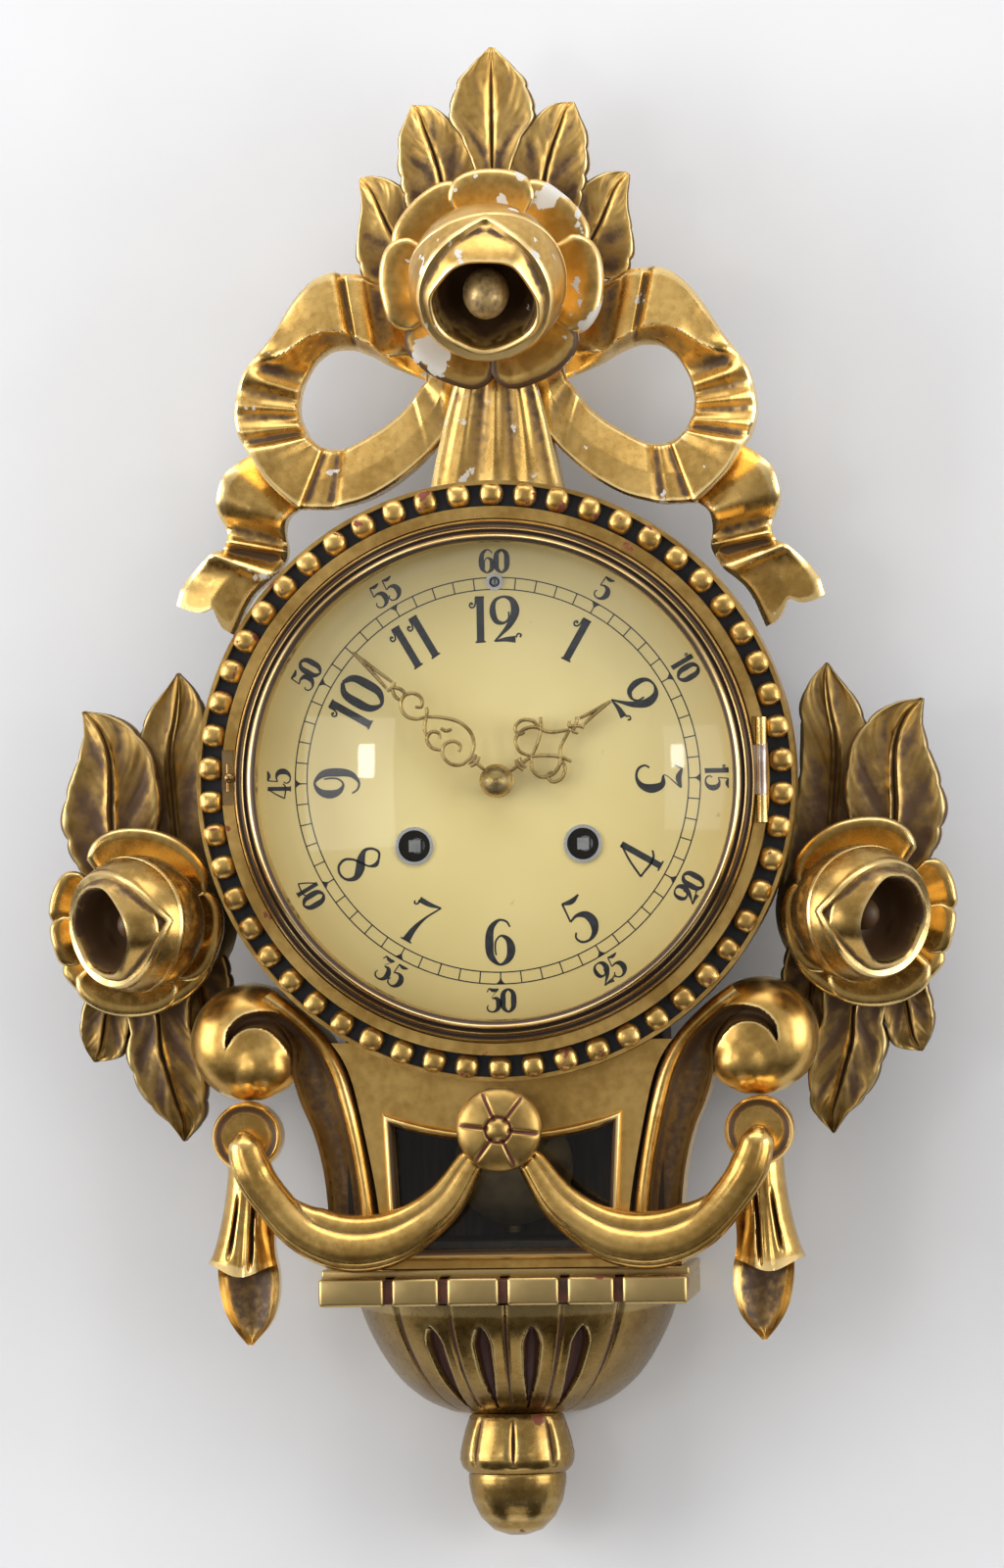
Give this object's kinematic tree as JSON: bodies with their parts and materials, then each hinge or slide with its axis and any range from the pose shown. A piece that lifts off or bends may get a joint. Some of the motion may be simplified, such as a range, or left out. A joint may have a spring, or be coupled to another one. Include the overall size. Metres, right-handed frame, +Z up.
{
  "type": "cartel clock",
  "caption": "Gilt carved wall clock with a rose crest, ribbon bow, swags and urn foot, a hinged brass bezel over a cream dial and a pendulum behind a small window.",
  "frame": {"origin": "on the wall plane, behind the axis of the hands", "axes": "+X to the viewer's right, +Y into the wall, +Z up"},
  "size_m": [0.3682, 0.1108, 0.5859],
  "materials": {
    "gilt_wood": "burnished gold leaf over red bole, worn",
    "case_wood": "toned softwood",
    "bezel_brass": "aged polished brass",
    "movement_brass": "lacquered brass",
    "steel": "bright steel",
    "glass": "clear glass",
    "dial_enamel": "cream gold lacquer with black numerals",
    "gilt_hand": "pierced gilt brass"
  },
  "bodies": {
    "case": {"bead_ring": "gilt_wood", "ring_beads": "gilt_wood", "crest_leaves": "gilt_wood", "crest_rose": "gilt_wood", "bow_left": "gilt_wood", "bow_right": "gilt_wood", "bow_fan": "gilt_wood", "foliage_left": "gilt_wood", "foliage_right": "gilt_wood", "rose_left": "gilt_wood", "rose_right": "gilt_wood", "console_left": "gilt_wood", "console_right": "gilt_wood", "apron": "gilt_wood", "window_frame": "gilt_wood", "rosette": "gilt_wood", "swag_left": "gilt_wood", "swag_right": "gilt_wood", "tassel_left": "gilt_wood", "tassel_right": "gilt_wood", "urn_cornice": "gilt_wood", "urn_bowl": "gilt_wood", "acorn_finial": "gilt_wood", "case_shell": "case_wood", "back_board": "case_wood", "case_hinge_leaf": "bezel_brass", "catch_plate": "bezel_brass", "front_plate": "movement_brass", "back_plate": "movement_brass", "movement_brackets": "movement_brass", "bell": "movement_brass", "suspension_cock": "movement_brass", "hanger_plate": "movement_brass", "case_screws": "steel", "hinge_pin": "steel", "dial_grommets": "steel", "window_glass": "glass", "dial_plate": "dial_enamel"},
    "bezel": {"bezel_ring": "bezel_brass", "bezel_glass": "glass", "bezel_hinge_leaf": "bezel_brass", "bezel_knob": "bezel_brass"},
    "minute": {"minute_hand": "gilt_hand", "hand_nut": "gilt_hand", "centre_wheel": "movement_brass"},
    "hour": {"hour_hand": "gilt_hand", "hour_wheel": "movement_brass"},
    "minute_wheel_body": {"minute_wheel": "movement_brass"},
    "intermediate": {"intermediate_wheel": "movement_brass"},
    "third": {"third_wheel": "movement_brass"},
    "escape": {"escape_wheel": "movement_brass"},
    "going_drum": {"going_barrel": "movement_brass"},
    "strike_drum": {"strike_barrel": "movement_brass"},
    "going_winder": {"going_winding_arbor": "steel"},
    "strike_winder": {"strike_winding_arbor": "steel"},
    "pendulum": {"anchor": "steel", "pendulum_rod": "steel", "pendulum_bob": "movement_brass"},
    "hammer_body": {"hammer": "steel"},
    "regulator": {"regulator_arbor": "steel"}
  },
  "joints": [
    {"name": "bezel_hinge", "type": "hinge", "parent": "case", "child": "bezel", "pos_m": [0.104, -0.084, 0.00275], "axis": [0, 0, 1], "range_deg": [0, 95]},
    {"name": "minute_hand_turn", "type": "hinge", "parent": "case", "child": "minute", "pos_m": [0, -0.075, 0], "axis": [0, 1, 0], "continuous": true},
    {"name": "hour_hand_turn", "type": "hinge", "parent": "case", "child": "hour", "pos_m": [0, -0.072, 0], "axis": [0, 1, 0], "continuous": true},
    {"name": "minute_wheel_turn", "type": "hinge", "parent": "case", "child": "minute_wheel_body", "pos_m": [0, -0.058, -0.0144], "axis": [0, 1, 0], "continuous": true},
    {"name": "intermediate_wheel_turn", "type": "hinge", "parent": "case", "child": "intermediate", "pos_m": [0.02513, -0.04, 0.00187], "axis": [0, 1, 0], "continuous": true},
    {"name": "going_barrel_turn", "type": "hinge", "parent": "case", "child": "going_drum", "pos_m": [0.033, -0.038, -0.025], "axis": [0, 1, 0], "continuous": true},
    {"name": "third_wheel_turn", "type": "hinge", "parent": "case", "child": "third", "pos_m": [-0.00695, -0.04, 0.01875], "axis": [0, 1, 0], "continuous": true},
    {"name": "escape_wheel_turn", "type": "hinge", "parent": "case", "child": "escape", "pos_m": [0, -0.04, 0.03405], "axis": [0, 1, 0], "continuous": true},
    {"name": "strike_barrel_turn", "type": "hinge", "parent": "case", "child": "strike_drum", "pos_m": [-0.033, -0.038, -0.025], "axis": [0, 1, 0], "continuous": true},
    {"name": "going_winding_turn", "type": "hinge", "parent": "case", "child": "going_winder", "pos_m": [0.033, -0.06, -0.025], "axis": [0, 1, 0], "continuous": true},
    {"name": "strike_winding_turn", "type": "hinge", "parent": "case", "child": "strike_winder", "pos_m": [-0.033, -0.06, -0.025], "axis": [0, 1, 0], "continuous": true},
    {"name": "pendulum_swing", "type": "hinge", "parent": "case", "child": "pendulum", "pos_m": [0, -0.018, 0.061], "axis": [0, 1, 0], "range_deg": [-4, 4]},
    {"name": "hammer_lift", "type": "hinge", "parent": "case", "child": "hammer_body", "pos_m": [-0.03216, -0.04, 0.054], "axis": [0, 1, 0], "range_deg": [0, 20]},
    {"name": "regulator_turn", "type": "hinge", "parent": "case", "child": "regulator", "pos_m": [0, -0.06, 0.0776], "axis": [0, 1, 0], "continuous": true}
  ],
  "couplings": [
    {"joint": "hour_hand_turn", "follows": "minute_hand_turn", "ratio": 0.083333},
    {"joint": "minute_wheel_turn", "follows": "minute_hand_turn", "ratio": -0.33333},
    {"joint": "intermediate_wheel_turn", "follows": "minute_hand_turn", "ratio": -0.16667},
    {"joint": "going_barrel_turn", "follows": "minute_hand_turn", "ratio": 0.027778},
    {"joint": "third_wheel_turn", "follows": "minute_hand_turn", "ratio": -9},
    {"joint": "escape_wheel_turn", "follows": "minute_hand_turn", "ratio": 81}
  ]
}
